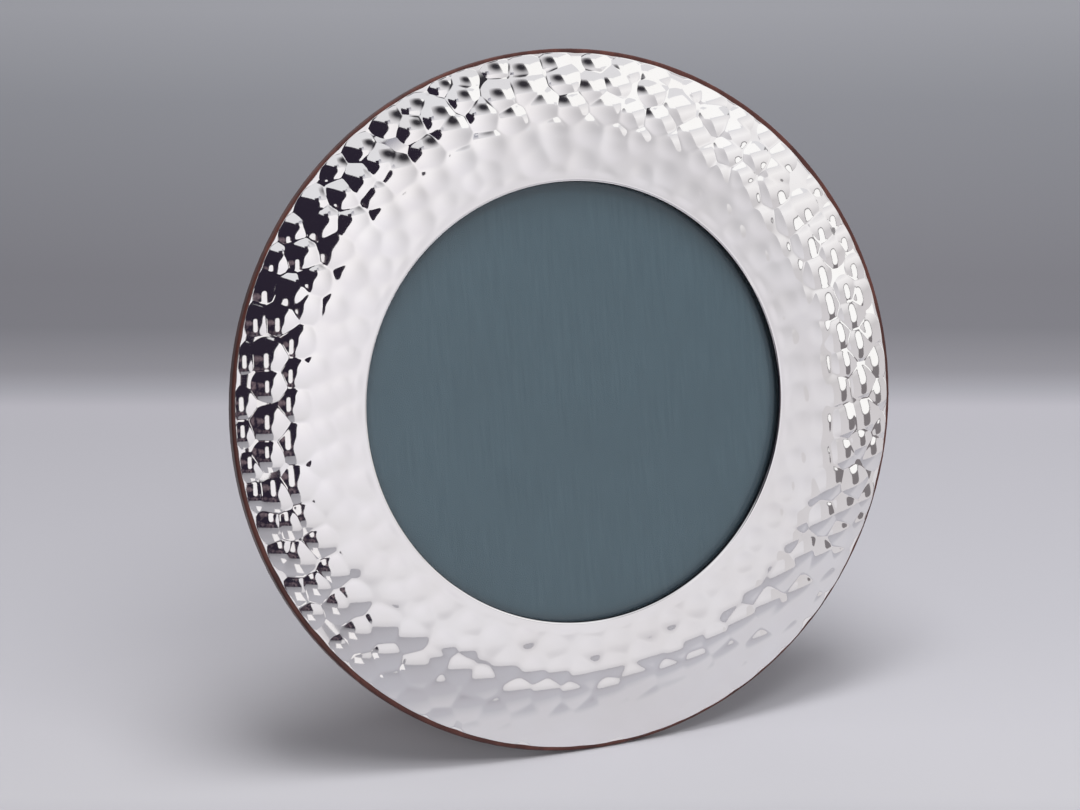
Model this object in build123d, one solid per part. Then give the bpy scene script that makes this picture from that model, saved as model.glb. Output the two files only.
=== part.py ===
from build123d import *
import os
from math import acos, atan2, cos, degrees, radians, sin

# A round table photo frame: a domed silver ring on a wooden body, leaning back on an easel strut.
# Each piece is made flat, with +Z out of the front of the frame and +Y up its face,
# and Z = 0 on the joint between the two wooden rings. The whole frame is then leaned back.

# Whole frame, millimetres and degrees
aperture_radius = 75.5
face_width = 45.5
lean_angle = 15.0
foot_flat_depth = 1.0

# Domed silver sheet
sheet_thickness = 0.5
ledge_width = 1.3
dome_rise = 5.6
band_share = 0.317
knee_reach_share = 0.281
knee_fall_share = 0.126
lip_bend_radius = 1.2
lip_drop = 1.6
lip_glass_clearance = 0.3

# Wooden body: a turned core under the silver, and a flat ring whose edge shows behind it
glue_gap = 0.3
core_land = 0.6
back_ring_thickness = 5.0
rabbet_lip = 8.5
front_edge_round = 0.8
rear_edge_chamfer = 1.4
rabbet_chamfer = 0.5

# Glass, insert and back panel in the rabbet, with a backing card that fills what is left
glass_thickness = 2.0
insert_thickness = 0.4
panel_thickness = 4.0
stack_clearance = 0.5
glass_chamfer = 0.3
panel_chamfer = 0.6

# Brass turn buttons that hold the back panel
button_count = 4
button_first_angle = 45.0
button_inset = 7.0
button_reach = 13.0
button_hub_radius = 4.5
button_tip_radius = 3.0
button_thickness = 1.2
button_edge_chamfer = 0.25
button_play = 0.1
button_hole_clearance = 0.1
washer_radius = 3.6
washer_thickness = 0.5
button_screw_radius = 1.25
button_screw_depth = 8.0
button_screw_head_radius = 2.7
button_screw_head_height = 1.6
pilot_clearance = 0.05
washer_hole_clearance = 0.25

# Butt hinge between the back panel and the strut
hinge_height = 46.0
hinge_width = 26.0
leaf_length = 19.0
leaf_thickness = 1.0
leaf_corner_radius = 2.0
knuckle_radius = 2.0
knuckle_count = 3
knuckle_end_gap = 0.3
knuckle_side_gap = 0.3
pin_radius = 1.0
pin_clearance = 0.05
pin_head_radius = 1.7
pin_head_length = 0.8

# Countersunk hinge screws
hinge_screw_radius = 1.1
hinge_screw_head_radius = 2.1
hinge_screw_side = 8.0
hinge_screw_upper = 7.0
hinge_screw_lower = 14.5
panel_screw_length = 3.8
strut_screw_length = 5.5
screw_slot_width = 0.6
screw_slot_depth = 0.45

# Wooden easel strut
opening_angle = 28.0
strut_thickness = 7.0
strut_top_width = 32.0
strut_foot_width = 42.0
strut_heel = 16.0
strut_top_corner = 7.0
strut_edge_round = 1.2
stop_clearance = 0.15

# One overrun serves every cut
overrun = 4.0

# The dome's section: a flat band beside the lip, a knee, and a shallow outer arc
lean = radians(lean_angle)
rim_radius = aperture_radius + face_width
sheet_radius = rim_radius - ledge_width
band_radius = aperture_radius + band_share * (sheet_radius - aperture_radius)
knee_reach = knee_reach_share * (sheet_radius - band_radius)
knee_fall = knee_fall_share * dome_rise
knee_angle = 2 * atan2(knee_fall, knee_reach)
outer_reach = sheet_radius - band_radius - knee_reach
edge_slope = 2 * atan2(dome_rise - knee_fall, outer_reach) - knee_angle
knee_radius = knee_reach / sin(knee_angle)
outer_dome_radius = outer_reach / (sin(edge_slope) - sin(knee_angle))
outer_center_z = -outer_dome_radius * cos(edge_slope)
outer_center_r = sheet_radius - outer_dome_radius * sin(edge_slope)
lip_center_r = aperture_radius + lip_bend_radius
lip_center_z = dome_rise - lip_bend_radius

# Places that follow from the sizes above
rear_face = -back_ring_thickness
card_back = rear_face + panel_thickness
glass_front = lip_center_z - lip_drop
glass_back = glass_front - glass_thickness
insert_back = glass_back - insert_thickness
rabbet_radius = aperture_radius + rabbet_lip
stack_radius = rabbet_radius - stack_clearance
core_offset = sheet_thickness + glue_gap
leaf_offset = knuckle_radius + knuckle_side_gap
button_pivot_radius = rabbet_radius + button_inset
button_seat = rear_face - washer_thickness - button_play
disc_height = rim_radius * cos(lean) + back_ring_thickness * sin(lean) - foot_flat_depth
leaned = Pos(0, 0, disc_height) * Rot(90 - lean_angle, 0, 0)
pin_place = Pos(0, hinge_height, rear_face - leaf_offset)
strut_place = pin_place * Rot(opening_angle, 0, 0)
pin_world_height = (leaned * pin_place).position.Z
strut_length = pin_world_height / cos(radians(opening_angle - lean_angle))


def edge_angle(offset, land):
    """Angle from straight up at which the outer arc, offset inwards, is at the height of the land."""
    return degrees(acos((land - outer_center_z) / (outer_dome_radius - offset)))


def dome_section(offset, land):
    """The dome's section as four tangent pieces: the lip's bend, the band, the knee and the outer arc."""
    straight_up = 90.0
    joint = straight_up - degrees(knee_angle)
    outer_end = straight_up - edge_angle(offset, land)
    band_height = dome_rise - offset
    lip_center = (lip_center_r, lip_center_z)
    knee_center = (band_radius, dome_rise - knee_radius)
    outer_center = (outer_center_r, outer_center_z)
    lip = CenterArc(lip_center, lip_bend_radius - offset, 2 * straight_up, -straight_up)
    band = Line((lip_center_r, band_height), (band_radius, band_height))
    knee = CenterArc(knee_center, knee_radius - offset, straight_up, joint - straight_up)
    outer = CenterArc(outer_center, outer_dome_radius - offset, joint, outer_end - joint)
    return [lip, band, knee, outer]


def turned(edges):
    """Turn a closed section, drawn as radius across and height up, about the frame's axis."""
    section = Plane.XZ * make_face(edges)
    return revolve(section, axis=Axis.Z)


def disc(radius, low, high):
    return Pos(0, 0, (low + high) / 2) * Cylinder(radius, high - low)


def make_silver_face():
    """The sheet: a dome between its cut outer edge and a lip turned down into the aperture."""
    top = dome_section(0, 0)
    underside = dome_section(sheet_thickness, 0)
    lip_end = glass_front + lip_glass_clearance
    lip_inside = Line((aperture_radius, lip_end), top[0] @ 0)
    lip_outside = Line((aperture_radius + sheet_thickness, lip_end), underside[0] @ 0)
    lip_edge = Line((aperture_radius, lip_end), (aperture_radius + sheet_thickness, lip_end))
    cut_edge = Line(top[-1] @ 1, underside[-1] @ 1)
    return turned(top + underside + [lip_inside, lip_outside, lip_edge, cut_edge])


def make_core_ring():
    """The turned core: it follows the sheet's underside, and is stepped behind for the glass."""
    top = dome_section(core_offset, core_land)[1:]
    inner_end = top[0] @ 0
    outer_end = top[-1] @ 1
    outline = Polyline(
        outer_end,
        (outer_end.X, 0),
        (rabbet_radius, 0),
        (rabbet_radius, glass_front),
        (inner_end.X, glass_front),
        inner_end,
    )
    ring = turned(top + [outline])
    for place in button_places():
        ring -= place * disc(button_screw_radius + pilot_clearance, rear_face, button_screw_tip())
    return ring


def make_back_ring():
    """The flat ring behind the core: its rounded edge shows all round the silver."""
    ring = disc(rim_radius, rear_face, 0) - disc(rabbet_radius, rear_face - overrun, overrun)
    rim_edges = ring.edges().filter_by(GeomType.CIRCLE).group_by(lambda edge: edge.radius)[-1]
    ring = fillet(rim_edges.sort_by(Axis.Z)[-1], front_edge_round)
    rim_edges = ring.edges().filter_by(GeomType.CIRCLE).sort_by(Axis.Z).group_by(Axis.Z)[0]
    ring = chamfer(rim_edges.sort_by(lambda edge: edge.radius)[-1], rear_edge_chamfer)
    rabbet_edges = ring.edges().filter_by(GeomType.CIRCLE).group_by(Axis.Z)[0]
    ring = chamfer(rabbet_edges.sort_by(lambda edge: edge.radius)[0], rabbet_chamfer)
    for place in button_places():
        hole = disc(button_screw_radius + pilot_clearance, rear_face - overrun, overrun)
        ring -= place * hole
    return ring


def make_glass_pane():
    pane = disc(stack_radius, glass_back, glass_front)
    return chamfer(pane.edges().filter_by(GeomType.CIRCLE), glass_chamfer)


def make_photo_insert():
    return disc(stack_radius, insert_back, glass_back)


def make_backing_card():
    return disc(stack_radius, card_back, insert_back)


def make_back_panel():
    """The flush back panel, with pilot holes for the hinge screws."""
    panel = disc(stack_radius, rear_face, card_back)
    panel = chamfer(panel.edges().filter_by(GeomType.CIRCLE).sort_by(Axis.Z)[0], panel_chamfer)
    for screw in hinge_screw_holes(panel_screw_length):
        panel -= pin_place * screw
    return panel


def button_places():
    """Where the turn buttons' screws stand, with each button's arm pointing at the centre."""
    step = 360.0 / button_count
    angles = [button_first_angle + step * index for index in range(button_count)]
    return [Rot(0, 0, angle) * Pos(button_pivot_radius, 0, 0) for angle in angles]


def button_screw_tip():
    return rear_face + button_screw_depth


def make_turn_button():
    """A flat brass latch: a round hub and a narrower tip, joined by straight sides."""
    hub = Circle(button_hub_radius)
    tip = Pos(-button_reach, 0, 0) * Circle(button_tip_radius)
    outline = make_hull((hub + tip).edges())
    plate = Pos(0, 0, button_seat) * extrude(outline, -button_thickness)
    outer_face = plate.faces().sort_by(Axis.Z)[0]
    plate = chamfer(outer_face.edges(), button_edge_chamfer)
    hole_radius = button_screw_radius + button_hole_clearance
    return plate - disc(hole_radius, button_seat - button_thickness - overrun, button_seat + overrun)


def make_button_screw():
    """A round-headed wood screw with a slot, driven through the back ring into the core."""
    head_seat = button_seat - button_thickness - button_play
    shank = disc(button_screw_radius, head_seat, button_screw_tip() - button_screw_radius)
    point = Pos(0, 0, button_screw_tip() - button_screw_radius / 2) * Cone(
        button_screw_radius, button_screw_radius / 4, button_screw_radius
    )
    dome_radius = (button_screw_head_radius**2 + button_screw_head_height**2) / (
        2 * button_screw_head_height
    )
    dome = Pos(0, 0, head_seat - button_screw_head_height + dome_radius) * Sphere(dome_radius)
    head = dome & disc(button_screw_head_radius, head_seat - 2 * button_screw_head_height, head_seat)
    slot = Pos(0, 0, head_seat - button_screw_head_height) * Box(
        2 * button_screw_head_radius, screw_slot_width, 2 * screw_slot_depth
    )
    return head + shank + point - slot


def make_button_washer():
    hole_radius = button_screw_radius + washer_hole_clearance
    washer = disc(washer_radius, rear_face - washer_thickness, rear_face)
    return washer - disc(hole_radius, rear_face - overrun, rear_face + overrun)


def hinge_screw_points():
    return [
        (-hinge_screw_side, -hinge_screw_upper),
        (hinge_screw_side, -hinge_screw_upper),
        (0, -hinge_screw_lower),
    ]


def leaf_face():
    """Height above the pin of the leaf face that the screw heads lie flush with."""
    return leaf_offset - leaf_thickness


def hinge_screw_holes(screw_length):
    """Pilot holes for one leaf's screws, from the wood's face inwards."""
    depth = leaf_face() + screw_length
    hole_radius = hinge_screw_radius + pilot_clearance
    hole = disc(hole_radius, leaf_face(), depth)
    return [Pos(x, y, 0) * hole for x, y in hinge_screw_points()]


def make_hinge_screw(screw_length):
    """A slotted countersunk screw, its flat head in the leaf and its point in the wood."""
    point_length = 2 * hinge_screw_radius
    head_length = hinge_screw_head_radius - hinge_screw_radius
    tip = leaf_face() + screw_length
    head = Pos(0, 0, leaf_face() + head_length / 2) * Cone(
        hinge_screw_head_radius, hinge_screw_radius, head_length
    )
    shank = disc(hinge_screw_radius, leaf_face() + head_length, tip - point_length)
    point = Pos(0, 0, tip - point_length / 2) * Cone(
        hinge_screw_radius, hinge_screw_radius / 4, point_length
    )
    slot = Pos(0, 0, leaf_face()) * Box(
        2 * hinge_screw_head_radius, screw_slot_width, 2 * screw_slot_depth
    )
    return head + shank + point - slot


def knuckle_spans(own_parity):
    """Start and end along the pin of the knuckles that one leaf carries."""
    pitch = hinge_width / knuckle_count
    spans = []
    for index in range(knuckle_count):
        if index % 2 == own_parity:
            start = -hinge_width / 2 + pitch * index
            spans.append((start + knuckle_end_gap / 2, start + pitch - knuckle_end_gap / 2))
    return spans


def make_hinge_leaf(own_parity):
    """A leaf on the panel's side: a plate, curled knuckles on the pin, and countersunk holes."""
    notch = knuckle_radius + knuckle_side_gap
    plate_length = leaf_length - notch
    plate = Pos(0, -notch - plate_length / 2, leaf_offset - leaf_thickness / 2) * Box(
        hinge_width - knuckle_end_gap, plate_length, leaf_thickness
    )
    corners = plate.edges().filter_by(Axis.Z).group_by(Axis.Y)[0]
    leaf = fillet(corners, leaf_corner_radius)
    for start, end in knuckle_spans(own_parity):
        width = end - start
        middle = (start + end) / 2
        tab = Pos(middle, -notch / 2, leaf_offset - leaf_thickness / 2) * Box(
            width, notch, leaf_thickness
        )
        barrel = Pos(middle, 0, 0) * Rot(0, 90, 0) * Cylinder(knuckle_radius, width)
        leaf += tab + barrel
    bore = Rot(0, 90, 0) * Cylinder(pin_radius + pin_clearance, hinge_width + overrun)
    leaf -= bore
    head_length = hinge_screw_head_radius - hinge_screw_radius
    countersink = Pos(0, 0, leaf_face() + head_length / 2) * Cone(
        hinge_screw_head_radius + pilot_clearance, hinge_screw_radius + pilot_clearance, head_length
    )
    hole = disc(hinge_screw_radius + pilot_clearance, leaf_face(), leaf_face() + overrun)
    for x, y in hinge_screw_points():
        leaf -= Pos(x, y, 0) * (countersink + hole)
    return leaf


def make_hinge_pin():
    """The pin between its two peened heads."""
    head_place = hinge_width / 2 + knuckle_end_gap / 2
    pin = Rot(0, 90, 0) * Cylinder(pin_radius, 2 * head_place)
    for side in (-1, 1):
        head = Rot(0, 90 * side, 0) * Pos(0, 0, head_place + pin_head_length / 2) * Cone(
            pin_head_radius, pin_radius, pin_head_length
        )
        pin += head
    return pin


def on_strut(piece):
    """Mirror a piece made for the panel's side of the hinge onto the strut's side."""
    return mirror(piece, about=Plane.XY)


def make_strut():
    """The tapered leg: its heel is bevelled to stop on the panel, and its foot is cut to the floor."""
    overlength = strut_length + strut_thickness
    taper = (strut_foot_width - strut_top_width) / 2 / (strut_length + strut_heel)
    half_top = strut_top_width / 2
    half_foot = half_top + taper * (overlength + strut_heel)
    outline = make_face(
        Polyline(
            (-half_top, strut_heel),
            (half_top, strut_heel),
            (half_foot, -overlength),
            (-half_foot, -overlength),
            close=True,
        )
    )
    blank = Pos(0, 0, -leaf_offset) * extrude(outline, -strut_thickness)
    top_corners = blank.edges().filter_by(Axis.Z).group_by(Axis.Y)[-1]
    blank = fillet(top_corners, strut_top_corner)
    rear = blank.faces().sort_by(Axis.Z)[0]
    blank = fillet(rear.edges().sort_by(Axis.Y)[1:], strut_edge_round)
    for screw in hinge_screw_holes(strut_screw_length):
        blank -= on_strut(screw)
    reach = 2 * (strut_heel + strut_thickness)
    panel_side = Pos(0, reach / 2, leaf_offset - stop_clearance + reach / 2) * Box(
        strut_foot_width + overrun, 2 * reach, reach
    )
    opened = Rot(opening_angle, 0, 0) * blank - panel_side
    return pin_place * opened


def below_floor():
    """Everything under the surface that the frame stands on."""
    size = 4 * rim_radius
    return Pos(0, 0, -size / 2) * Box(size, size, size)


def leaned_pieces():
    """Every node's solid, leaned back and standing on the floor."""
    flat = {
        "silver_face": make_silver_face(),
        "core_ring": make_core_ring(),
        "back_ring": make_back_ring(),
        "glass_pane": make_glass_pane(),
        "photo_insert": make_photo_insert(),
        "backing_card": make_backing_card(),
        "back_panel": make_back_panel(),
        "strut": make_strut(),
        "hinge_leaf_panel": pin_place * make_hinge_leaf(0),
        "hinge_leaf_strut": strut_place * on_strut(make_hinge_leaf(1)),
        "hinge_pin": pin_place * make_hinge_pin(),
    }
    panel_screw = make_hinge_screw(panel_screw_length)
    strut_screw = on_strut(make_hinge_screw(strut_screw_length))
    points = hinge_screw_points()
    flat["hinge_screws_panel"] = Compound(
        children=[pin_place * Pos(x, y, 0) * panel_screw for x, y in points]
    )
    flat["hinge_screws_strut"] = Compound(
        children=[strut_place * Pos(x, y, 0) * strut_screw for x, y in points]
    )
    places = button_places()
    button = make_turn_button()
    for index, place in enumerate(places):
        flat[f"turn_button_{index + 1}"] = place * button
    screw = make_button_screw()
    washer = make_button_washer()
    flat["turn_button_screws"] = Compound(children=[place * screw for place in places])
    flat["turn_button_washers"] = Compound(children=[place * washer for place in places])
    pieces = {name: leaned * piece for name, piece in flat.items()}
    for name in ("back_ring", "strut"):
        pieces[name] -= below_floor()
    return pieces


def main():
    pieces = leaned_pieces()
    boxes = [piece.bounding_box() for piece in pieces.values()]
    middle_x = (min(box.min.X for box in boxes) + max(box.max.X for box in boxes)) / 2
    middle_y = (min(box.min.Y for box in boxes) + max(box.max.Y for box in boxes)) / 2
    to_origin = Pos(-middle_x, -middle_y, 0)
    os.makedirs("parts", exist_ok=True)
    for name, piece in pieces.items():
        export_step(to_origin * piece, f"parts/{name}.step")
    pin_point = (to_origin * leaned * pin_place).position
    print("strut pin at", pin_point, "strut length", strut_length)
    print("frame centre at", (to_origin * leaned).position)
    for index, place in enumerate(button_places()):
        button_point = (to_origin * leaned * place * Pos(0, 0, button_seat)).position
        print("turn button", index + 1, "at", button_point)
    for name in ("back_ring", "strut"):
        foot = (to_origin * pieces[name]).faces().sort_by(Axis.Z)[0]
        print(name, "foot at", foot.center(), "area", foot.area)


main()
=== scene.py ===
import math
import bpy
import numpy as np
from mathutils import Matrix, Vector


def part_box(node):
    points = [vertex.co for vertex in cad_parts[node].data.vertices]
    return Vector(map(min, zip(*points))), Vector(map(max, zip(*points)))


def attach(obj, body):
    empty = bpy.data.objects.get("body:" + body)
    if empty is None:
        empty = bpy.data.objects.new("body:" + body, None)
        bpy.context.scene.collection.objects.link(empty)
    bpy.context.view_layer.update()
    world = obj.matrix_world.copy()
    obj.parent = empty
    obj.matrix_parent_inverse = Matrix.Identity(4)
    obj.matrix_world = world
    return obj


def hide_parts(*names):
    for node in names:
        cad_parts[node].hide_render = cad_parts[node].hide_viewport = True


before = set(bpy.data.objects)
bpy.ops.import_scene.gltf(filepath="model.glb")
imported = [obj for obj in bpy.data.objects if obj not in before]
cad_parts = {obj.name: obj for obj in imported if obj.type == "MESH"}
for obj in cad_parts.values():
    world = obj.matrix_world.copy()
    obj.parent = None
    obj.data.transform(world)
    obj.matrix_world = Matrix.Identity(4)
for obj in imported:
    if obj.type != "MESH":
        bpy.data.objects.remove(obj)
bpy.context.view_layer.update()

# Everything is in metres. The frame's face leans back, so its pieces are placed in its own axes:
# across (to the viewer's right), up its face, and out of its front.
LEAN = math.radians(15)
ACROSS = Vector((1, 0, 0))
UP_FACE = Vector((0, math.sin(LEAN), math.cos(LEAN)))
OUTWARD = Vector((0, -math.cos(LEAN), math.sin(LEAN)))

# The silver's section: a lip, a flat inner band, a knee and a shallow outer arc, which is up to
# half a millimetre fuller than the solid's, as the photograph's reflections show. The shares place
# the band's end, the knee's reach and the knee's fall.
APERTURE_RADIUS = 0.0755
RIM_RADIUS = 0.121
LEDGE_WIDTH = 0.0013
SHEET_THICKNESS = 0.0005
DOME_RISE = 0.0056
BAND_SHARE = 0.346
KNEE_REACH_SHARE = 0.325
KNEE_FALL_SHARE = 0.117
LIP_BEND_RADIUS = 0.0012
LIP_DROP = 0.0016
LIP_CLEARANCE = 0.0003
GLASS_THICKNESS = 0.002
INSERT_THICKNESS = 0.0004

SHEET_RADIUS = RIM_RADIUS - LEDGE_WIDTH
BAND_RADIUS = APERTURE_RADIUS + BAND_SHARE * (SHEET_RADIUS - APERTURE_RADIUS)
KNEE_REACH = KNEE_REACH_SHARE * (SHEET_RADIUS - BAND_RADIUS)
KNEE_FALL = KNEE_FALL_SHARE * DOME_RISE
KNEE_ANGLE = 2 * math.atan2(KNEE_FALL, KNEE_REACH)
OUTER_REACH = SHEET_RADIUS - BAND_RADIUS - KNEE_REACH
EDGE_SLOPE = 2 * math.atan2(DOME_RISE - KNEE_FALL, OUTER_REACH) - KNEE_ANGLE
KNEE_RADIUS = KNEE_REACH / math.sin(KNEE_ANGLE)
OUTER_RADIUS = OUTER_REACH / (math.sin(EDGE_SLOPE) - math.sin(KNEE_ANGLE))
KNEE_CENTER_Z = DOME_RISE - KNEE_RADIUS
OUTER_CENTER_Z = -OUTER_RADIUS * math.cos(EDGE_SLOPE)
OUTER_CENTER_R = SHEET_RADIUS - OUTER_RADIUS * math.sin(EDGE_SLOPE)
LIP_CENTER_R = APERTURE_RADIUS + LIP_BEND_RADIUS
LIP_CENTER_Z = DOME_RISE - LIP_BEND_RADIUS
GLASS_FRONT = LIP_CENTER_Z - LIP_DROP
INSERT_MIDDLE = GLASS_FRONT - GLASS_THICKNESS - INSERT_THICKNESS / 2

insert_low, insert_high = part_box("photo_insert")
FACE_ORIGIN = (insert_low + insert_high) / 2 - OUTWARD * INSERT_MIDDLE


def face_points(across, up, out):
    """Row frame points for arrays of places across, up and out of the leaning face."""
    origin = np.array(FACE_ORIGIN)
    axes = np.array((ACROSS, UP_FACE, OUTWARD))
    places = np.stack((across, up, out), axis=-1)
    return origin + places @ axes


# Camera, fitted to the photograph's two ellipses in its 1080 by 810 frame
IMAGE_WIDTH_PX = 1080
FOCAL_PX = 3300
SENSOR_WIDTH_MM = 36
CAMERA_AZIMUTH = math.radians(-21.14)
CAMERA_ELEVATION = math.radians(19.68)
CAMERA_DISTANCE = 1.131
AIM_OFFSET = Vector((-0.01203, 0, 0.00038))


def make_camera():
    """The photograph's camera."""
    data = bpy.data.cameras.new("camera")
    data.sensor_width = SENSOR_WIDTH_MM
    data.lens = FOCAL_PX * SENSOR_WIDTH_MM / IMAGE_WIDTH_PX
    data.clip_start = 0.01
    camera = bpy.data.objects.new("camera", data)
    bpy.context.scene.collection.objects.link(camera)
    back = Vector(
        (
            math.sin(CAMERA_AZIMUTH) * math.cos(CAMERA_ELEVATION),
            -math.cos(CAMERA_AZIMUTH) * math.cos(CAMERA_ELEVATION),
            math.sin(CAMERA_ELEVATION),
        )
    )
    camera.location = FACE_ORIGIN + AIM_OFFSET + back * CAMERA_DISTANCE
    camera.rotation_mode = "QUATERNION"
    camera.rotation_quaternion = (-back).to_track_quat("-Z", "Y")
    bpy.context.scene.camera = camera


def add_mesh(name, points, faces, smooth=True):
    """A new object in the scene, from its points and faces."""
    mesh = bpy.data.meshes.new(name)
    mesh.from_pydata(points, [], faces)
    mesh.update()
    mesh.polygons.foreach_set("use_smooth", [smooth] * len(mesh.polygons))
    piece = bpy.data.objects.new(name, mesh)
    bpy.context.scene.collection.objects.link(piece)
    return piece


# Hammer marks: rings of small domes that meet in soft valleys. Each row has its radius, a gain on
# its domes' curve and a spread of their tilts, and the space between marks grows from row to row. A
# mark reaches over two row steps, and the least total keeps the logarithm defined.
ROW_RADII = (0.0766, 0.0835, 0.0922, 0.1009, 0.1096, 0.1183, 0.127)
ROW_GAINS = (0.8, 1.05, 1.05, 1.0, 1.1, 1.15, 1.2)
ROW_TILTS = (0.01, 0.022, 0.022, 0.028, 0.032, 0.035, 0.035)
ROW_STEP = 0.0087
INNER_PITCH = 0.0103
OUTER_PITCH = 0.0122
JITTER_SHARE = 0.15
PEBBLE_RADIUS = 0.029
CURVE_SPREAD_SHARE = 0.25
LIFT_SPREAD = 0.00005
HAMMER_SEED = 11
MEAN_DROP = 0.00025
MARK_REACH = 2
LEAST_TOTAL = 1e-200

# The inner band's marks are shallow and softly joined; past the knee they are deep and crisp, but
# for a calm stretch at the bottom of the face
INNER_SOFTNESS = 0.00012
INNER_DEPTH = 0.00034
OUTER_SOFTNESS = 0.00006
OUTER_DEPTH = 0.0009
OUTER_START = 0.092
OUTER_END = 0.101
CALM_SOFTNESS = 0.00013
CALM_SHARE = 0.33
CALM_ANGLE = math.radians(272)
CALM_SPREAD = math.radians(85)
LIP_PLAIN_WIDTH = 0.0016
LIP_FADE_WIDTH = 0.003

# The rolled outer edge, and the slight ovalness that the photograph shows there
EDGE_ROLL_RADIUS = 0.00022
EDGE_LIFT = 0.00006
LOBE_COUNT = 2
LOBE_HEIGHT = 0.0005
LOBE_ANGLE = math.radians(135)
LOBE_WIDTH = 0.012

# Steps of the silver's mesh, round the face and along its section
TURN_STEPS = 2160
WALL_STEPS = 4
LIP_STEPS = 10
BAND_STEPS = 150
EDGE_STEPS = 6
BACK_STEPS = 10


def dome_height(radius):
    """Height and slope of the sheet's front surface at these radii, outside the lip."""
    knee_offset = np.clip((radius - BAND_RADIUS) / KNEE_RADIUS, 0, 1)
    outer_offset = np.clip((radius - OUTER_CENTER_R) / OUTER_RADIUS, -1, 1)
    inside = radius < BAND_RADIUS + KNEE_REACH
    angle = np.where(inside, np.arcsin(knee_offset), np.arcsin(outer_offset))
    center = np.where(inside, KNEE_CENTER_Z, OUTER_CENTER_Z)
    reach = np.where(inside, KNEE_RADIUS, OUTER_RADIUS)
    return center + reach * np.cos(angle), angle


def smooth_step(value):
    """A share held between 0 and 1, which leaves and arrives gently."""
    value = np.clip(value, 0, 1)
    return value * value * (3 - 2 * value)


def hammer_cells(rng):
    """Middle, curve, lift and tilt of each hammer mark on the flat of the face."""
    cells = []
    for row, radius in enumerate(ROW_RADII):
        pitch = INNER_PITCH + (OUTER_PITCH - INNER_PITCH) * row / (len(ROW_RADII) - 1)
        count = round(math.tau * radius / pitch)
        phase = rng.uniform(0, math.tau)
        for index in range(count):
            angle = phase + math.tau * index / count
            jitter = rng.normal(0, JITTER_SHARE * ROW_STEP, 2)
            across = radius * math.cos(angle) + jitter[0]
            up = radius * math.sin(angle) + jitter[1]
            curve = ROW_GAINS[row] * (1 + CURVE_SPREAD_SHARE * rng.uniform(-1, 1)) / PEBBLE_RADIUS
            lift = LIFT_SPREAD * rng.uniform(-1, 1)
            tilt = rng.normal(0, ROW_TILTS[row], 2)
            cells.append((across, up, curve, lift, tilt[0], tilt[1]))
    return np.array(cells)


def hammer_height(across, up, cells, softness, depth):
    """Soft upper envelope of the marks' domes and of a floor at this depth under their tops."""
    total = np.exp(-depth / softness)
    far = MARK_REACH * ROW_STEP
    for middle_across, middle_up, curve, lift, tilt_across, tilt_up in cells:
        near = (abs(across - middle_across) < far) & (abs(up - middle_up) < far)
        offset_across = across[near] - middle_across
        offset_up = up[near] - middle_up
        dome = lift - curve * (offset_across**2 + offset_up**2) / 2
        dome = dome + tilt_across * offset_across + tilt_up * offset_up
        total[near] += np.exp(dome / softness[near])
    return softness * np.log(np.maximum(total, LEAST_TOTAL)) + MEAN_DROP


def silver_section():
    """The sheet's front, from the lip's end to the rim: radius, height and share of hammering."""
    rows = []
    lip_end = GLASS_FRONT + LIP_CLEARANCE
    for step in range(WALL_STEPS):
        rows.append((APERTURE_RADIUS, lip_end + (LIP_CENTER_Z - lip_end) * step / WALL_STEPS, 0.0))
    for step in range(LIP_STEPS):
        angle = math.pi - math.pi / 2 * step / LIP_STEPS
        radius = LIP_CENTER_R + LIP_BEND_RADIUS * math.cos(angle)
        rows.append((radius, LIP_CENTER_Z + LIP_BEND_RADIUS * math.sin(angle), 0.0))
    end = SHEET_RADIUS - EDGE_ROLL_RADIUS
    for step in range(BAND_STEPS + 1):
        radius = LIP_CENTER_R + (end - LIP_CENTER_R) * step / BAND_STEPS
        height = float(dome_height(np.array(radius))[0])
        plain = radius - APERTURE_RADIUS - LIP_PLAIN_WIDTH
        amount = float(smooth_step(np.array(plain / LIP_FADE_WIDTH)))
        rows.append((radius, height, amount))
    return rows


def hammered_front(turn):
    """Radius and height of the hammered front, row by row, at each turn about the face's axis."""
    cells = hammer_cells(np.random.default_rng(HAMMER_SEED))
    rows = np.array(silver_section())
    radius = rows[:, 0][:, None] + 0 * turn
    height = rows[:, 1][:, None] + 0 * turn
    amount = rows[:, 2][:, None] + 0 * turn
    slope = np.where(amount > 0, dome_height(radius)[1], 0)
    turned_away = (turn - CALM_ANGLE + math.pi) % math.tau - math.pi
    outer = smooth_step((radius - OUTER_START) / (OUTER_END - OUTER_START))
    calm = smooth_step(1 - abs(turned_away) / CALM_SPREAD) * outer
    softness = INNER_SOFTNESS + (OUTER_SOFTNESS - INNER_SOFTNESS) * outer
    softness = softness + (CALM_SOFTNESS - softness) * calm
    depth = INNER_DEPTH + (OUTER_DEPTH - INNER_DEPTH) * outer
    strength = amount * (1 - CALM_SHARE * calm)
    across = radius * np.cos(turn)
    up = radius * np.sin(turn)
    marks = hammer_height(across, up, cells, softness, depth) * strength
    radius = radius + marks * np.sin(slope)
    height = height + marks * np.cos(slope)
    lobes = LOBE_HEIGHT * np.cos(LOBE_COUNT * (turn - LOBE_ANGLE))
    toward_rim = smooth_step((radius - (SHEET_RADIUS - LOBE_WIDTH)) / LOBE_WIDTH)
    return radius + lobes * toward_rim, np.maximum(height, EDGE_LIFT)


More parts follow.
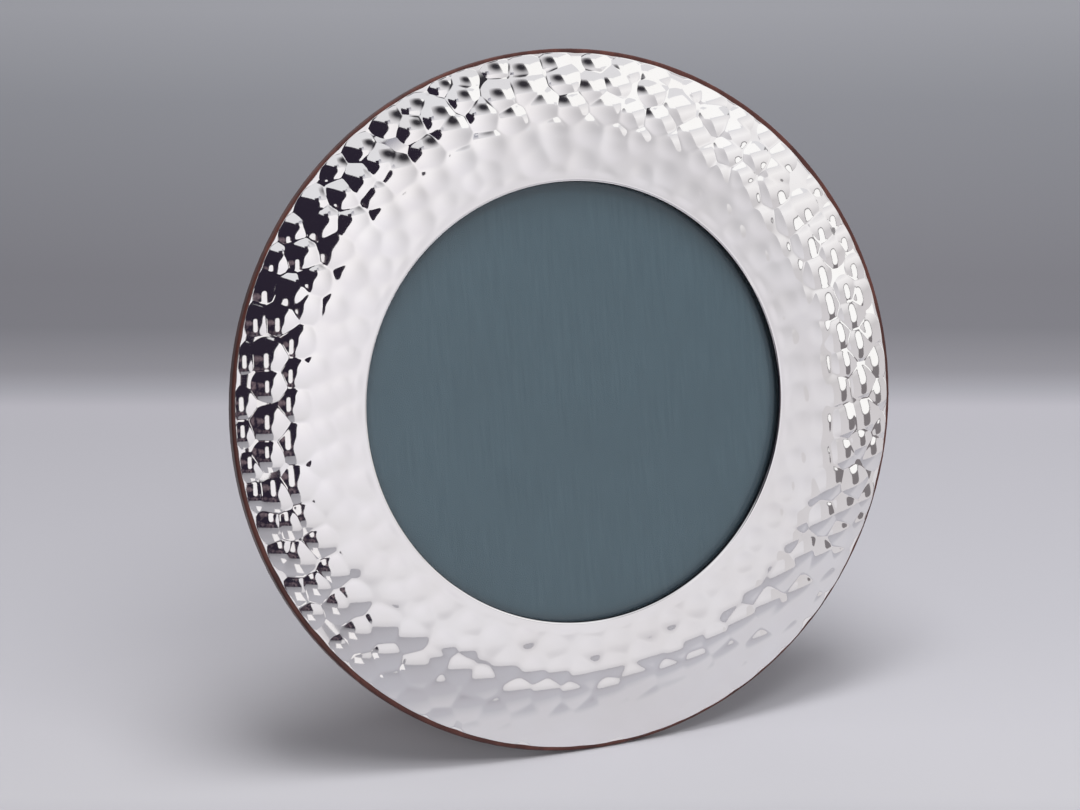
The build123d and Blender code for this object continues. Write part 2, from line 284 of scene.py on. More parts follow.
def with_back(radius, height):
    """The front's rows, followed by the rolled edge, the back and the lip's outer side."""
    rim_top = height[-1]
    radii = [radius]
    heights = [height]
    for step in range(1, EDGE_STEPS + 1):
        angle = math.pi / 2 * step / EDGE_STEPS
        radii.append((radius[-1] + EDGE_ROLL_RADIUS * math.sin(angle))[None])
        heights.append((rim_top - rim_top * (1 - math.cos(angle)))[None])
    back_start = SHEET_RADIUS - 2 * SHEET_THICKNESS
    for step in range(BACK_STEPS + 1):
        back_radius = back_start + (LIP_CENTER_R - back_start) * step / BACK_STEPS
        back_height = float(dome_height(np.array(back_radius))[0]) - SHEET_THICKNESS
        radii.append(np.full((1, TURN_STEPS), back_radius))
        heights.append(np.full((1, TURN_STEPS), max(back_height, 0)))
    for back_height in (LIP_CENTER_Z, GLASS_FRONT + LIP_CLEARANCE):
        radii.append(np.full((1, TURN_STEPS), APERTURE_RADIUS + SHEET_THICKNESS))
        heights.append(np.full((1, TURN_STEPS), back_height))
    return np.vstack(radii), np.vstack(heights)


def make_silver():
    """The hammered sheet, as one closed skin turned about the face's axis."""
    turn = np.arange(TURN_STEPS) * math.tau / TURN_STEPS
    radius, height = with_back(*hammered_front(turn))
    points = face_points(radius * np.cos(turn), radius * np.sin(turn), height).reshape(-1, 3)
    row_count = len(radius)
    row = np.arange(row_count)[:, None] * TURN_STEPS
    next_row = (np.arange(row_count)[:, None] + 1) % row_count * TURN_STEPS
    step = np.arange(TURN_STEPS)
    next_step = (step + 1) % TURN_STEPS
    corners = (row + step, next_row + step, next_row + next_step, row + next_step)
    faces = np.stack(corners, axis=-1).reshape(-1, 4)
    piece = add_mesh("hammered_silver", points.tolist(), faces.tolist())
    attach(piece, "frame")
    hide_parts("silver_face")
    return piece


# The pane, with a hair of air between it and the insert
GLASS_RADIUS = 0.0835
GLASS_BACK_GAP = 0.00004
GLASS_CHAMFER = 0.0003
DISC_STEPS = 256
DISC_RINGS = 6


def make_glass():
    """The flat pane behind the aperture, with a ground edge. Its faces are divided in rings."""
    front = GLASS_FRONT
    back = GLASS_FRONT - GLASS_THICKNESS + GLASS_BACK_GAP
    rings = [(GLASS_RADIUS * ring / DISC_RINGS, front) for ring in range(1, DISC_RINGS)]
    rings.append((GLASS_RADIUS - GLASS_CHAMFER, front))
    rings.append((GLASS_RADIUS, front - GLASS_CHAMFER))
    rings.append((GLASS_RADIUS, back + GLASS_CHAMFER))
    rings.append((GLASS_RADIUS - GLASS_CHAMFER, back))
    rings += [(GLASS_RADIUS * ring / DISC_RINGS, back) for ring in range(DISC_RINGS - 1, 0, -1)]
    turn = np.arange(DISC_STEPS) * math.tau / DISC_STEPS
    radius = np.array([ring[0] for ring in rings])[:, None] + 0 * turn
    height = np.array([ring[1] for ring in rings])[:, None] + 0 * turn
    points = face_points(radius * np.cos(turn), radius * np.sin(turn), height).reshape(-1, 3)
    faces = []
    for ring in range(len(rings) - 1):
        for step in range(DISC_STEPS):
            beside = (step + 1) % DISC_STEPS
            low = ring * DISC_STEPS
            high = low + DISC_STEPS
            faces.append((low + step, high + step, high + beside, low + beside))
    last = (len(rings) - 1) * DISC_STEPS
    faces.append(tuple(range(DISC_STEPS)))
    faces.append(tuple(range(last + DISC_STEPS - 1, last - 1, -1)))
    piece = add_mesh("clear_pane", points.tolist(), faces, smooth=False)
    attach(piece, "frame")
    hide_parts("glass_pane")
    return piece


def new_material(name):
    """A material with its nodes, its links and its shader."""
    material = bpy.data.materials.new(name)
    material.use_nodes = True
    nodes = material.node_tree.nodes
    shader = nodes["Principled BSDF"]
    return material, nodes, material.node_tree.links, shader


def dress(node, material):
    """Give one of the frame's solids this material alone."""
    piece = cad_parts[node]
    piece.data.materials.clear()
    piece.data.materials.append(material)


def object_place(nodes):
    """Places in the object's own axes."""
    return nodes.new("ShaderNodeTexCoord").outputs["Object"]


def along_axes(nodes, links, origin, axes, stretch):
    """A place measured from the origin along three axes, each multiplied by its stretch."""
    offset = nodes.new("ShaderNodeVectorMath")
    offset.operation = "SUBTRACT"
    offset.inputs[1].default_value = origin
    links.new(object_place(nodes), offset.inputs[0])
    join = nodes.new("ShaderNodeCombineXYZ")
    for axis, share, socket in zip(axes, stretch, ("X", "Y", "Z")):
        measure = nodes.new("ShaderNodeVectorMath")
        measure.operation = "DOT_PRODUCT"
        measure.inputs[1].default_value = axis * share
        links.new(offset.outputs["Vector"], measure.inputs[0])
        links.new(measure.outputs["Value"], join.inputs[socket])
    return join.outputs["Vector"]


def noise(nodes, links, place, size, detail=2.0, distortion=0.0):
    """Noise whose features are about this size, in metres."""
    node = nodes.new("ShaderNodeTexNoise")
    node.inputs["Scale"].default_value = 1 / size
    node.inputs["Detail"].default_value = detail
    node.inputs["Distortion"].default_value = distortion
    links.new(place, node.inputs["Vector"])
    return node.outputs["Fac"]


def spread(nodes, links, value, low, high, to_low, to_high, smooth=False):
    """Map a value from one range to another, held at its ends."""
    node = nodes.new("ShaderNodeMapRange")
    node.interpolation_type = "SMOOTHSTEP" if smooth else "LINEAR"
    node.inputs["From Min"].default_value = low
    node.inputs["From Max"].default_value = high
    node.inputs["To Min"].default_value = to_low
    node.inputs["To Max"].default_value = to_high
    links.new(value, node.inputs["Value"])
    return node.outputs["Result"]


def blend(nodes, links, share, first, second):
    """Mix two colours, each a plain colour or another node's output."""
    node = nodes.new("ShaderNodeMix")
    node.data_type = "RGBA"
    for socket, color in (("A", first), ("B", second)):
        if isinstance(color, tuple):
            node.inputs[socket].default_value = (*color, 1)
        else:
            links.new(color, node.inputs[socket])
    links.new(share, node.inputs["Factor"])
    return node.outputs["Result"]


def bump(nodes, links, shader, height, depth):
    """Raise the shader's surface by the height, where 1 is this depth."""
    node = nodes.new("ShaderNodeBump")
    node.inputs["Distance"].default_value = depth
    links.new(height, node.inputs["Height"])
    links.new(node.outputs["Normal"], shader.inputs["Normal"])


def distance_out(nodes, links, place):
    """How far a place is from the origin that it is measured from."""
    node = nodes.new("ShaderNodeVectorMath")
    node.operation = "LENGTH"
    links.new(place, node.inputs[0])
    return node.outputs["Value"]


FACE_AXES = (ACROSS, UP_FACE, OUTWARD)
FLAT_AXES = (ACROSS, UP_FACE, Vector((0, 0, 0)))
EVEN_STRETCH = (1, 1, 1)

SILVER_WHITE = (0.955, 0.945, 0.94)
SILVER_WARM = (0.925, 0.905, 0.89)
SILVER_CLOUD_SIZE = 0.02
RUBBED_STRETCH = (1, 0.12, 1)
RUBBED_SIZE = 0.0006
RUBBED_DEPTH = 0.0000015
# Painted shade: the lip's inner wall is painted near black, for the shadowed gap at the glass
LIP_WALL_SHADE_WIDTH = 0.0002
LIP_WALL_SHADE_FADE = 0.00015
LIP_WALL_PAINTED_SHADE = (0.035, 0.033, 0.04)


def silver_material():
    """Mirror-polished silver: faint clouds, fine rubbed lines, and painted shade on the lip's wall.
    """
    material, nodes, links, shader = new_material("polished_silver")
    shader.inputs["Metallic"].default_value = 1
    cloud = noise(nodes, links, object_place(nodes), SILVER_CLOUD_SIZE, detail=4)
    warm_share = spread(nodes, links, cloud, 0.35, 0.75, 0, 1)
    tint = blend(nodes, links, warm_share, SILVER_WHITE, SILVER_WARM)
    flat = along_axes(nodes, links, FACE_ORIGIN, FLAT_AXES, EVEN_STRETCH)
    radius = distance_out(nodes, links, flat)
    # Painted shade on the lip's inner wall, fading to the silver's tint just past the aperture
    wall_end = APERTURE_RADIUS + LIP_WALL_SHADE_WIDTH
    unshaded_share = spread(nodes, links, radius, wall_end, wall_end + LIP_WALL_SHADE_FADE, 0, 1)
    tint = blend(nodes, links, unshaded_share, LIP_WALL_PAINTED_SHADE, tint)
    links.new(tint, shader.inputs["Base Color"])
    links.new(spread(nodes, links, cloud, 0.3, 0.8, 0.035, 0.075), shader.inputs["Roughness"])
    rubbed = along_axes(nodes, links, FACE_ORIGIN, FACE_AXES, RUBBED_STRETCH)
    lines = noise(nodes, links, rubbed, RUBBED_SIZE)
    bump(nodes, links, shader, lines, RUBBED_DEPTH)
    return material


TEAL_DEEP = (0.06, 0.095, 0.122)
TEAL_PALE = (0.077, 0.119, 0.15)
TEAL_WORN = (0.056, 0.088, 0.113)
TEAL_GRAIN = (0.089, 0.134, 0.166)
TEAL_LINT = (0.17, 0.21, 0.235)
# Painted shade: the insert darkens towards its edge, where the lip overhangs it
TEAL_PAINTED_SHADE = (0.028, 0.031, 0.046)
NAP_SHEEN = (0.55, 0.72, 0.8, 1)
NAP_STRETCH = (1, 0.05, 1)
NAP_STREAK_SIZE = 0.0009
NAP_CLOUD_SIZE = 0.035
NAP_GRAIN_SIZE = 0.0004
NAP_GRAIN_DEPTH = 0.00005
LINT_SIZE = 0.0011
INSERT_SHADE_START = 0.0725
INSERT_SHADE_END = 0.0765


def teal_material():
    """Flocked paper: upright streaks in the nap, specks of lint, painted shade at the edge under
    the lip.
    """
    material, nodes, links, shader = new_material("teal_flock")
    shader.inputs["Roughness"].default_value = 0.95
    shader.inputs["Specular IOR Level"].default_value = 0.1
    shader.inputs["Sheen Weight"].default_value = 0.35
    shader.inputs["Sheen Roughness"].default_value = 0.5
    shader.inputs["Sheen Tint"].default_value = NAP_SHEEN
    face = along_axes(nodes, links, FACE_ORIGIN, FACE_AXES, EVEN_STRETCH)
    napped = along_axes(nodes, links, FACE_ORIGIN, FACE_AXES, NAP_STRETCH)
    streak = noise(nodes, links, napped, NAP_STREAK_SIZE, detail=3)
    streak_share = spread(nodes, links, streak, 0.3, 0.7, 0, 1)
    base = blend(nodes, links, streak_share, TEAL_DEEP, TEAL_PALE)
    cloud = noise(nodes, links, face, NAP_CLOUD_SIZE, detail=3)
    cloud_share = spread(nodes, links, cloud, 0.35, 0.7, 0, 0.4)
    base = blend(nodes, links, cloud_share, base, TEAL_WORN)
    grain = noise(nodes, links, face, NAP_GRAIN_SIZE, detail=1)
    grain_share = spread(nodes, links, grain, 0.35, 0.65, 0, 0.25)
    base = blend(nodes, links, grain_share, base, TEAL_GRAIN)
    lint = noise(nodes, links, face, LINT_SIZE, detail=0, distortion=1.5)
    lint_share = spread(nodes, links, lint, 0.83, 0.86, 0, 0.35)
    base = blend(nodes, links, lint_share, base, TEAL_LINT)
    # Painted shade under the lip, growing towards the insert's edge
    radius = distance_out(nodes, links, face)
    insert_shade_share = spread(nodes, links, radius, INSERT_SHADE_START, INSERT_SHADE_END, 0, 0.55)
    base = blend(nodes, links, insert_shade_share, base, TEAL_PAINTED_SHADE)
    links.new(base, shader.inputs["Base Color"])
    bump(nodes, links, shader, grain, NAP_GRAIN_DEPTH)
    return material


FIGURE_STRETCH = (0.07, 1, 1)
FIGURE_SIZE = 0.0075
FIBRE_STRETCH = (0.035, 1, 1)
FIBRE_SIZE = 0.0006
FIBRE_DEPTH = 0.00003
PORE_STRETCH = (0.11, 1, 1)
PORE_SIZE = 0.00035


def wood_material(name, axes, dark, light, pore, coat):
    """Straight-grained wood: broad figure, fine fibres and short pores, under clear lacquer."""
    material, nodes, links, shader = new_material(name)
    shader.inputs["Coat Weight"].default_value = coat
    shader.inputs["Coat Roughness"].default_value = 0.16
    shader.inputs["Specular IOR Level"].default_value = 0.25
    broad = along_axes(nodes, links, FACE_ORIGIN, axes, FIGURE_STRETCH)
    figure = noise(nodes, links, broad, FIGURE_SIZE, detail=3, distortion=0.6)
    fine = along_axes(nodes, links, FACE_ORIGIN, axes, FIBRE_STRETCH)
    fibre = noise(nodes, links, fine, FIBRE_SIZE, detail=2)
    short = along_axes(nodes, links, FACE_ORIGIN, axes, PORE_STRETCH)
    fleck = noise(nodes, links, short, PORE_SIZE, detail=1)
    figure_share = spread(nodes, links, figure, 0.3, 0.72, 0, 1)
    base = blend(nodes, links, figure_share, dark, light)
    fibre_share = spread(nodes, links, fibre, 0.35, 0.7, 0.4, 0)
    base = blend(nodes, links, fibre_share, base, dark)
    fleck_share = spread(nodes, links, fleck, 0.66, 0.74, 0, 0.75)
    base = blend(nodes, links, fleck_share, base, pore)
    links.new(base, shader.inputs["Base Color"])
    links.new(spread(nodes, links, fibre, 0.3, 0.7, 0.38, 0.52), shader.inputs["Roughness"])
    bump(nodes, links, shader, fibre, FIBRE_DEPTH)
    return material


CARD_DARK = (0.2, 0.19, 0.17)
CARD_PALE = (0.36, 0.34, 0.31)
CARD_FLECK = (0.1, 0.09, 0.08)
CARD_FIBRE_SIZE = 0.0008
CARD_FIBRE_DEPTH = 0.00005
CARD_FLECK_SIZE = 0.0015


def card_material():
    """Grey board with pale and dark fibres pressed in it."""
    material, nodes, links, shader = new_material("grey_card")
    shader.inputs["Roughness"].default_value = 0.95
    place = object_place(nodes)
    fibre = noise(nodes, links, place, CARD_FIBRE_SIZE, detail=3, distortion=2)
    base = blend(nodes, links, fibre, CARD_DARK, CARD_PALE)
    fleck = noise(nodes, links, place, CARD_FLECK_SIZE, distortion=1)
    fleck_share = spread(nodes, links, fleck, 0.7, 0.78, 0, 0.6)
    base = blend(nodes, links, fleck_share, base, CARD_FLECK)
    links.new(base, shader.inputs["Base Color"])
    bump(nodes, links, shader, fibre, CARD_FIBRE_DEPTH)
    return material


TARNISH_SIZE = 0.006
BRUSHED_STRETCH = (0.04, 1, 1)
BRUSHED_SIZE = 0.0003
BRUSHED_DEPTH = 0.000008


def brass_material(name, bright, dull, smooth, rough, axes):
    """Brass with brushed lines one way and a cloudy brown tarnish, between two roughnesses."""
    material, nodes, links, shader = new_material(name)
    shader.inputs["Metallic"].default_value = 1
    tarnish = noise(nodes, links, object_place(nodes), TARNISH_SIZE, detail=4)
    tarnish_share = spread(nodes, links, tarnish, 0.42, 0.72, 0, 1)
    links.new(blend(nodes, links, tarnish_share, bright, dull), shader.inputs["Base Color"])
    brushed = along_axes(nodes, links, FACE_ORIGIN, axes, BRUSHED_STRETCH)
    lines = noise(nodes, links, brushed, BRUSHED_SIZE, detail=2)
    links.new(spread(nodes, links, lines, 0.3, 0.7, smooth, rough), shader.inputs["Roughness"])
    bump(nodes, links, shader, lines, BRUSHED_DEPTH)
    return material


GLASS_TINT = (0.97, 0.985, 0.98, 1)
HEAD_ON_MIRROR = 0.034
GRAZING_POWER = 5


def glass_material():
    """Clear glass as a thin sheet: light goes straight through, less what its faces mirror."""
    material, nodes, links, shader = new_material("clear_glass")
    nodes.remove(shader)
    clear = nodes.new("ShaderNodeBsdfTransparent")
    clear.inputs["Color"].default_value = GLASS_TINT
    gloss = nodes.new("ShaderNodeBsdfGlossy")
    gloss.inputs["Roughness"].default_value = 0.03
    facing = nodes.new("ShaderNodeLayerWeight")
    facing.inputs["Blend"].default_value = 0.5
    grazing = nodes.new("ShaderNodeMath")
    grazing.operation = "POWER"
    grazing.inputs[1].default_value = GRAZING_POWER
    links.new(facing.outputs["Facing"], grazing.inputs[0])
    mirror_share = spread(nodes, links, grazing.outputs["Value"], 0, 1, HEAD_ON_MIRROR, 1)
    mix = nodes.new("ShaderNodeMixShader")
    links.new(mirror_share, mix.inputs["Fac"])
    links.new(clear.outputs["BSDF"], mix.inputs[1])
    links.new(gloss.outputs["BSDF"], mix.inputs[2])
    links.new(mix.outputs["Shader"], nodes["Material Output"].inputs["Surface"])
    return material


STRUT_DOWN = Vector((0, math.sin(LEAN), -math.cos(LEAN)))
STRUT_OUT = Vector((0, math.cos(LEAN), math.sin(LEAN)))

# The way the grain or the brushing runs comes first in each set of axes
FRAME_GRAIN = (UP_FACE, ACROSS, OUTWARD)
STRUT_GRAIN = (STRUT_DOWN, ACROSS, STRUT_OUT)
CROSS_GRAIN = (ACROSS, UP_FACE, OUTWARD)

# Woods, each as its dark and light figure and its pores
MAHOGANY = ((0.042, 0.013, 0.011), (0.115, 0.037, 0.027), (0.025, 0.007, 0.005))
PANEL_WOOD = ((0.15, 0.05, 0.024), (0.32, 0.13, 0.06), (0.06, 0.02, 0.012))
CORE_WOOD = ((0.42, 0.28, 0.16), (0.62, 0.46, 0.29), (0.3, 0.19, 0.1))

# Brasses, each as its bright and dull colour and its roughness along the brushed lines
BRASS = ((0.83, 0.62, 0.29), (0.6, 0.4, 0.17), 0.2, 0.36)
SCREW_BRASS = ((0.88, 0.69, 0.36), (0.66, 0.46, 0.2), 0.16, 0.3)


def dress_nodes():
    """Give each solid that the scene keeps its own material."""
    dress("back_ring", wood_material("mahogany_ring", FRAME_GRAIN, *MAHOGANY, 0.25))
    dress("strut", wood_material("mahogany_strut", STRUT_GRAIN, *MAHOGANY, 0.5))
    dress("back_panel", wood_material("panel_wood", FRAME_GRAIN, *PANEL_WOOD, 0.35))
    dress("core_ring", wood_material("core_wood", CROSS_GRAIN, *CORE_WOOD, 0))
    dress("photo_insert", teal_material())
    dress("backing_card", card_material())
    brass = brass_material("brass", *BRASS, FRAME_GRAIN)
    screw_brass = brass_material("brass_screw", *SCREW_BRASS, CROSS_GRAIN)
    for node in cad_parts:
        if "screws" in node:
            dress(node, screw_brass)
        elif node.startswith(("hinge", "turn_button")):
            dress(node, brass)


def ramp(nodes, links, value, stops):
    """Colours at rising values, blended evenly between them."""
    low = stops[0][0]
    reach = stops[-1][0] - low
    node = nodes.new("ShaderNodeValToRGB")
    elements = node.color_ramp.elements
    for index, (place, color) in enumerate(stops):
        share = (place - low) / reach
        if index in (0, len(stops) - 1):
            element = elements[-1 if index else 0]
            element.position = share
        else:
            element = elements.new(share)
        element.color = (*color, 1)
    links.new(spread(nodes, links, value, low, stops[-1][0], 0, 1), node.inputs["Fac"])
    return node.outputs["Color"]


# Stage: one level floor, square to the camera's direction. Its colour by depth away from the
# camera, with 0 under the frame, stands for a floor and its darker backdrop, with painted shade.
# Painted shade: darker bands for the backdrop's shade and the lamps' fall-off toward the front
FLOOR_TONE_AND_SHADE_STOPS = (
    (-0.35, (0.31, 0.305, 0.33)),
    (-0.12, (0.4, 0.395, 0.43)),
    (-0.085, (0.5, 0.493, 0.52)),
    (-0.03, (0.5, 0.493, 0.525)),
    (0.06, (0.48, 0.475, 0.51)),
    (0.27, (0.47, 0.463, 0.5)),
    (0.306, (0.48, 0.47, 0.51)),
    (0.33, (0.37, 0.365, 0.4)),
    (0.356, (0.28, 0.275, 0.3)),
    (0.42, (0.21, 0.208, 0.23)),
    (0.5, (0.215, 0.213, 0.235)),
    (0.85, (0.32, 0.325, 0.355)),
    (1.1, (0.45, 0.455, 0.49)),
)
FLOOR_HALF = 12.0
SQUARE = ((-1, -1), (-1, 1), (1, 1), (1, -1))


def make_stage():
    """The floor and its material."""
    away = Vector((-math.sin(CAMERA_AZIMUTH), math.cos(CAMERA_AZIMUTH), 0))
    side = Vector((away.y, -away.x, 0))
    corners = [(away * along + side * beside) * FLOOR_HALF for along, beside in SQUARE]
    floor = add_mesh("floor", corners, [(0, 1, 2, 3)], smooth=False)
    material, nodes, links, shader = new_material("floor")
    shader.inputs["Roughness"].default_value = 0.9
    shader.inputs["Specular IOR Level"].default_value = 0.1
    floor_axes = (away, side, Vector((0, 0, 1)))
    level = along_axes(nodes, links, Vector((0, 0, 0)), floor_axes, EVEN_STRETCH)
    split = nodes.new("ShaderNodeSeparateXYZ")
    links.new(level, split.inputs["Vector"])
    links.new(ramp(nodes, links, split.outputs["X"], FLOOR_TONE_AND_SHADE_STOPS), shader.inputs["Base Color"])
    floor.data.materials.append(material)


CORNER_STEPS = 8
LEVEL_AXES = (Vector((1, 0, 0)), Vector((0, 1, 0)), Vector((0, 0, 1)))

# A glowing board, seen only in reflections, for a bright cloth before the frame at this Y, and its
# glow by height
NEAR = -0.45
PANEL_STOPS = (
    (0.0, (0.64, 0.625, 0.655)),
    (0.06, (0.76, 0.745, 0.775)),
    (0.12, (0.79, 0.775, 0.81)),
    (0.2, (0.835, 0.815, 0.86)),
    (0.28, (0.9, 0.88, 0.92)),
    (0.36, (0.95, 0.93, 0.96)),
    (0.52, (0.97, 0.95, 0.97)),
)
PANEL_RIGHT = 0.36
PANEL_LEFT = -0.165
PANEL_TOP = 0.52
PANEL_LEAN = 0.13
PANEL_LEAN_START = 0.18
PANEL_STEPS = 60
WAVE_SIZE = 0.013
WAVE_LENGTH = 0.2


def turned_from_front(azimuth):
    """Level unit vector; azimuth 0 is in front of the frame and positive to the viewer's right."""
    angle = math.radians(azimuth)
    return Vector((math.sin(angle), -math.cos(angle), 0))


def glow_material(name, build_color):
    """A plain glow, whose colour is the node output that build_color makes."""
    material = bpy.data.materials.new(name)
    material.use_nodes = True
    nodes = material.node_tree.nodes
    links = material.node_tree.links
    nodes.remove(nodes["Principled BSDF"])
    glow = nodes.new("ShaderNodeEmission")
    links.new(build_color(nodes, links), glow.inputs["Color"])
    links.new(glow.outputs["Emission"], nodes["Material Output"].inputs["Surface"])
    return material


def banded(stops):
    """A glow in level bands by height."""

    def build_color(nodes, links):
        split = nodes.new("ShaderNodeSeparateXYZ")
        links.new(object_place(nodes), split.inputs["Vector"])
        return ramp(nodes, links, split.outputs["Z"], stops)

    return build_color


def spotted(spot, reach, color, around):
    """A glow of one colour at a spot, which turns to another glow between two distances from it."""

    def build_color(nodes, links):
        place = along_axes(nodes, links, Vector(spot), LEVEL_AXES, EVEN_STRETCH)
        distance = distance_out(nodes, links, place)
        share = spread(nodes, links, distance, *reach, 0, 1, smooth=True)
        return blend(nodes, links, share, color, around(nodes, links))

    return build_color


def even(color):
    """A glow of one colour."""

    def build_color(nodes, links):
        tone = nodes.new("ShaderNodeRGB")
        tone.outputs["Color"].default_value = (*color, 1)
        return tone.outputs["Color"]

    return build_color


def patchy(first, second, size, share):
    """A glow of the first colour with soft patches of the second."""

    def build_color(nodes, links):
        clouds = noise(nodes, links, object_place(nodes), size, detail=2, distortion=0.6)
        return blend(nodes, links, spread(nodes, links, clouds, 0.5, 0.7, 0, share), first, second)

    return build_color


def rounded(width, height, corner):
    """The outline of a board with rounded corners, from its lower left corner."""
    outline = []
    right = width - corner
    top = height - corner
    centers = ((right, corner), (right, top), (corner, top), (corner, corner))
    for quarter, (along, up) in enumerate(centers):
        for step in range(CORNER_STEPS + 1):
            angle = math.pi / 2 * (quarter - 1 + step / CORNER_STEPS)
            outline.append((along + corner * math.cos(angle), up + corner * math.sin(angle)))
    return outline


def make_board(name, points, build_color):
    """A glowing board, seen only in what mirrors it."""
    board = add_mesh(name, points, [tuple(range(len(points)))], smooth=False)
    board.visible_camera = False
    board.visible_diffuse = False
    board.visible_shadow = False
    board.data.materials.append(glow_material(name, build_color))


def make_card(name, left, right, low, high, corner, build_color):
    """An upright glowing board between two floor places, seen only in what mirrors it."""
    start = Vector((*left, low))
    across = Vector((*right, low)) - start
    width = across.length
    across.normalize()
    outline = rounded(width, high - low, corner)
    points = [start + across * along + Vector((0, 0, up)) for along, up in outline]
    make_board(name, points, build_color)


def panel_outline():
    """The front panel's outline, whose left edge leans in and waves like a hanging cloth."""
    points = [Vector((PANEL_RIGHT, NEAR, 0)), Vector((PANEL_RIGHT, NEAR, PANEL_TOP))]
    for step in range(PANEL_STEPS + 1):
        up = PANEL_TOP * (1 - step / PANEL_STEPS)
        lean_share = (up - PANEL_LEAN_START) / (PANEL_TOP - PANEL_LEAN_START)
        lean = PANEL_LEAN * float(smooth_step(np.array(lean_share)))
        wave = WAVE_SIZE * math.sin(math.tau * up / WAVE_LENGTH)
        points.append(Vector((PANEL_LEFT + lean + wave, NEAR, up)))
    return points


def make_far_card(name, azimuths, elevations, distance, corner, build_color):
    """An upright board that fills these directions, as seen from the middle of the frame."""
    left = turned_from_front(azimuths[0]) * distance
    right = turned_from_front(azimuths[1]) * distance
    half = math.radians(azimuths[1] - azimuths[0]) / 2
    reach = distance * math.cos(half)
    low = FACE_ORIGIN.z + reach * math.tan(math.radians(elevations[0]))
    high = FACE_ORIGIN.z + reach * math.tan(math.radians(elevations[1]))
    make_card(name, (left.x, left.y), (right.x, right.y), low, high, corner, build_color)


CEILING = (0.76, 0.76, 0.79)
CEILING_HEIGHT = 1.2
CEILING_HALF = 2
POST_WHITE = (0.9, 0.88, 0.9)
WHITE = (1.0, 1.0, 1.0)
PURPLE_DARK = (0.022, 0.017, 0.03)
PURPLE_DIM = (0.2, 0.15, 0.17)
GAP_DARK = (0.03, 0.028, 0.035)
GAP_EDGE = (0.74, 0.73, 0.76)
STAND_GREY = (0.2, 0.185, 0.195)
RIM_GREY = (0.25, 0.24, 0.25)
SHAFT_STOPS = ((0.5, (0.97, 0.95, 0.97)), (0.6, (0.3, 0.3, 0.36)))
SIDE_STOPS = (
    (0.0, (0.66, 0.64, 0.66)),
    (0.17, (0.64, 0.62, 0.64)),
    (0.24, (0.62, 0.605, 0.62)),
    (0.32, (0.8, 0.785, 0.8)),
    (0.42, (0.93, 0.92, 0.93)),
    (0.5, (0.82, 0.81, 0.83)),
)
PANEL_SHADE = (0.57, 0.56, 0.585)
PANEL_GLOW = spotted((0.34, NEAR, 0.38), (0.0, 0.4), PANEL_SHADE, banded(PANEL_STOPS))
GAP_GLOW = spotted((0.15, NEAR, 0.7), (0.045, 0.2), GAP_DARK, even(GAP_EDGE))
ROOM_GLOW = patchy(PURPLE_DARK, PURPLE_DIM, 0.16, 0.9)

# A pale glowing strip, seen only in reflections, on the floor in front of the frame, at its left
STRIP_CORNERS = ((-0.24, NEAR), (-0.175, NEAR), (-0.11, -0.2), (-0.15, -0.2))
STRIP_HEIGHT = 0.0005

# Upright boards: name, left and right end on the floor, bottom, top, corner radius, glow
NEAR_CARDS = (
    ("side_panel", (0.355, NEAR - 0.001), (0.8, -0.1), 0.0, 0.52, 0, banded(SIDE_STOPS)),
    ("left_post", (-0.27, NEAR), (-0.205, NEAR), 0.14, 0.33, 0.03, even(POST_WHITE)),
    ("shaft", (-0.034, NEAR - 0.01), (0.03, NEAR - 0.01), 0.5, 0.61, 0.03, banded(SHAFT_STOPS)),
    ("dark_gap", (0.0, NEAR + 0.01), (0.235, NEAR + 0.01), 0.525, 0.84, 0.01, GAP_GLOW),
    ("window", (0.235, NEAR), (0.36, NEAR), 0.53, 0.8, 0.03, even(WHITE)),
    ("side_window", (0.36, NEAR), (0.66, NEAR + 0.2), 0.55, 0.8, 0.03, even(WHITE)),
)

# Boards by direction from the frame: name, azimuths, elevations, distance, corner radius, glow
FAR_CARDS = (
    ("dark_side", (-80, -4), (-4, 19), 1.3, 0.02, ROOM_GLOW),
    ("dark_top", (-80, -4), (18.5, 62), 1.31, 0.02, even(PURPLE_DARK)),
    ("dark_front", (-5, 4), (-2, 50), 1.2, 0.02, even(PURPLE_DARK)),
    ("side_strip", (52, 64), (0, 19), 0.5, 0.045, even(WHITE)),
    ("strip_stand", (53, 63), (-10, 3), 0.502, 0.03, even(STAND_GREY)),
    ("strip_rim", (51, 65), (-1, 20), 0.505, 0.049, even(RIM_GREY)),
)


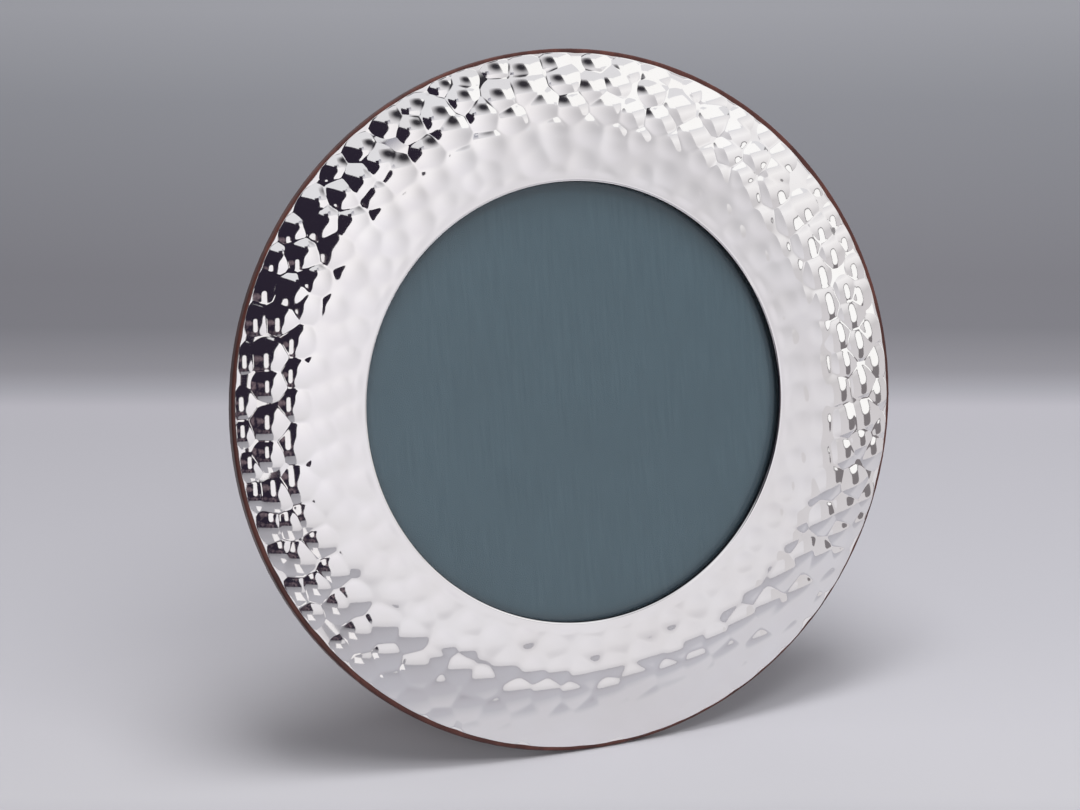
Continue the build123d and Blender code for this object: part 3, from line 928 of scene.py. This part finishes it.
def make_mirrored_room():
    """What the silver and glass mirror: boards, glowing only in reflections, for a cloth, windows,
    posts, a dark room.
    """
    ceiling = [Vector((x * CEILING_HALF, y * CEILING_HALF, CEILING_HEIGHT)) for x, y in SQUARE]
    strip = [Vector((x, y, STRIP_HEIGHT)) for x, y in STRIP_CORNERS]
    make_board("ceiling", ceiling, even(CEILING))
    make_board("front_panel", panel_outline(), PANEL_GLOW)
    make_board("floor_strip", strip, even(POST_WHITE))
    for card in NEAR_CARDS:
        make_card(*card)
    for card in FAR_CARDS:
        make_far_card(*card)


WORLD_GREY = (0.5, 0.5, 0.52, 1)
WORLD_STRENGTH = 0.6

# Soft lamps: name, place, aim, width, height, watts
LAMPS = (
    ("overhead", (0, -0.12, 1.3), (0, -0.05, 0), 0.6, 0.4, 10),
    ("front_key", (0.1, -0.62, 1.2), (0, 0, 0.1), 0.7, 0.4, 5),
    ("low_fill", (0.1, -2.3, 0.7), (0, 0, 0.12), 1.4, 0.7, 16),
    ("far_fill", (0.6, 1.35, 1.0), (0.6, 0.85, 0), 1.2, 0.8, 3),
)


def make_lamp(name, place, aim, width, height, power):
    """A soft area lamp that mirrors don't show."""
    data = bpy.data.lights.new(name, "AREA")
    data.shape = "RECTANGLE"
    data.size = width
    data.size_y = height
    data.energy = power
    lamp = bpy.data.objects.new(name, data)
    lamp.location = place
    lamp.rotation_mode = "QUATERNION"
    lamp.rotation_quaternion = (Vector(aim) - Vector(place)).to_track_quat("-Z", "Y")
    lamp.visible_glossy = False
    lamp.visible_camera = False
    bpy.context.scene.collection.objects.link(lamp)


def make_lights():
    """An even grey world and the lamps."""
    world = bpy.data.worlds.new("world")
    bpy.context.scene.world = world
    world.use_nodes = True
    background = world.node_tree.nodes["Background"]
    background.inputs["Color"].default_value = WORLD_GREY
    background.inputs["Strength"].default_value = WORLD_STRENGTH
    for lamp in LAMPS:
        make_lamp(*lamp)


bpy.context.scene.view_settings.view_transform = "Standard"
make_camera()
silver = make_silver()
silver.data.materials.append(silver_material())
pane = make_glass()
pane.data.materials.append(glass_material())
dress_nodes()
make_stage()
make_mirrored_room()
make_lights()
